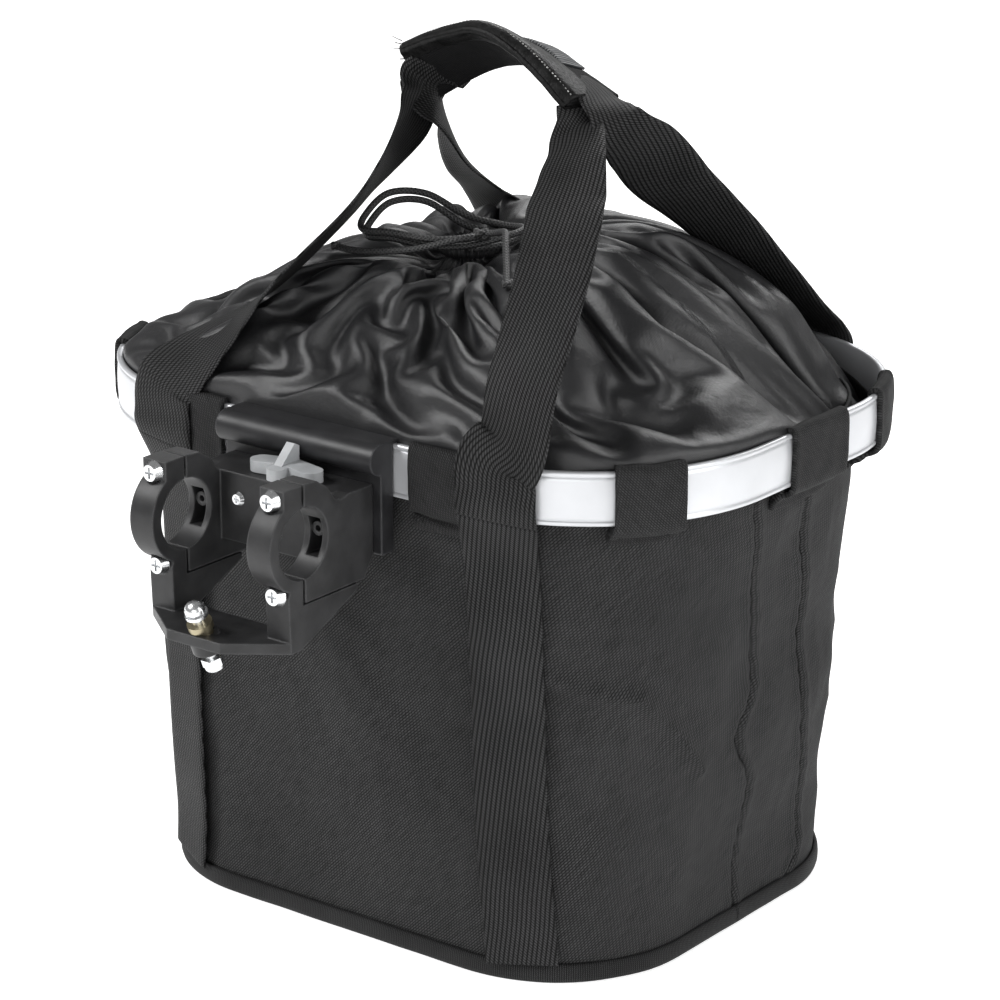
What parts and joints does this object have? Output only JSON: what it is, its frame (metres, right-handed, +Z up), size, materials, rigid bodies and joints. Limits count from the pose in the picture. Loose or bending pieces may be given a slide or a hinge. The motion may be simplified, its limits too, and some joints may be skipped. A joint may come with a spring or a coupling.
{
  "type": "handlebar basket",
  "caption": "Soft-sided oval basket hung from a metal hoop, with a drawn hood, a padded carrying grip and a handlebar bracket with two clamps and a quick-release knob.",
  "frame": {"origin": "middle of the base's underside", "axes": "+X along the handlebar, +Z up, and the bracket on the -Y side"},
  "size_m": [0.3452, 0.3483, 0.4029],
  "materials": {
    "band_metal": "satin extruded",
    "bag_fabric": "coated twill",
    "webbing": "woven",
    "hood_nylon": "thin shiny nylon",
    "cord": "braided",
    "grip_cloth": "padded",
    "patch_cloth": "ribbed",
    "board": "matte",
    "moulded_plastic": "grained",
    "knob_plastic": "satin",
    "zinc_steel": "zinc plated",
    "brass_insert": "turned"
  },
  "bodies": {
    "bracket": {"bracket_body": "moulded_plastic", "clamp_yoke": "moulded_plastic", "clamp_screws": "zinc_steel", "clamp_nuts": "zinc_steel", "body_screw": "zinc_steel", "support_insert": "brass_insert", "release_spring": "zinc_steel"},
    "support": {"support_bolt": "zinc_steel", "support_cap_nut": "zinc_steel"},
    "knob": {"release_knob": "knob_plastic"},
    "latch": {"release_latch": "knob_plastic"},
    "basket_frame": {"rim_band": "band_metal", "rim_splice": "band_metal", "splice_rivets": "band_metal", "rim_loops": "bag_fabric", "hook_plate": "moulded_plastic", "backing_plate": "moulded_plastic", "adapter_screws": "zinc_steel", "mount_side_panel": "bag_fabric", "far_side_panel": "bag_fabric", "right_end_gusset": "bag_fabric", "left_end_gusset": "bag_fabric", "mount_strap_runs": "webbing", "far_strap_runs": "webbing", "carry_strap_mount_right": "webbing", "carry_strap_mount_left": "webbing", "carry_strap_far_right": "webbing", "carry_strap_far_left": "webbing", "hood": "hood_nylon", "hood_hem": "hood_nylon", "drawcord": "cord", "cord_tail": "cord", "cord_knot": "cord", "cord_ends": "cord"},
    "handle": {"handle_grip": "grip_cloth", "grip_patch": "patch_cloth"},
    "base": {"base_panel": "bag_fabric", "base_board": "board", "base_binding": "webbing"}
  },
  "joints": [
    {"name": "quick_release", "type": "slide", "parent": "bracket", "child": "basket_frame", "axis": [0, 0, 1], "range_m": [0, 0.05]},
    {"name": "release_pull", "type": "slide", "parent": "bracket", "child": "knob", "axis": [0, 0, 1], "range_m": [0, 0.005], "stiffness_N_per_m": 400, "springref_m": -0.005, "deforming": ["release_spring"]},
    {"name": "latch_draw", "type": "slide", "parent": "bracket", "child": "latch", "axis": [0, -1, 0], "range_m": [0, 0.005]},
    {"name": "collapse", "type": "slide", "parent": "basket_frame", "child": "base", "axis": [0, 0, 1], "range_m": [0, 0.15], "deforming": ["mount_side_panel", "far_side_panel", "right_end_gusset", "left_end_gusset", "mount_strap_runs", "far_strap_runs"]},
    {"name": "handle_drop", "type": "slide", "parent": "basket_frame", "child": "handle", "axis": [0, 0, 1], "range_m": [-0.03, 0], "deforming": ["carry_strap_mount_right", "carry_strap_mount_left", "carry_strap_far_right", "carry_strap_far_left"]},
    {"name": "support_adjust", "type": "slide", "parent": "bracket", "child": "support", "axis": [0, -0.3746, 0.9272], "range_m": [-0.0035, 0.004]}
  ],
  "couplings": [
    {"joint": "latch_draw", "follows": "release_pull", "ratio": 1}
  ]
}
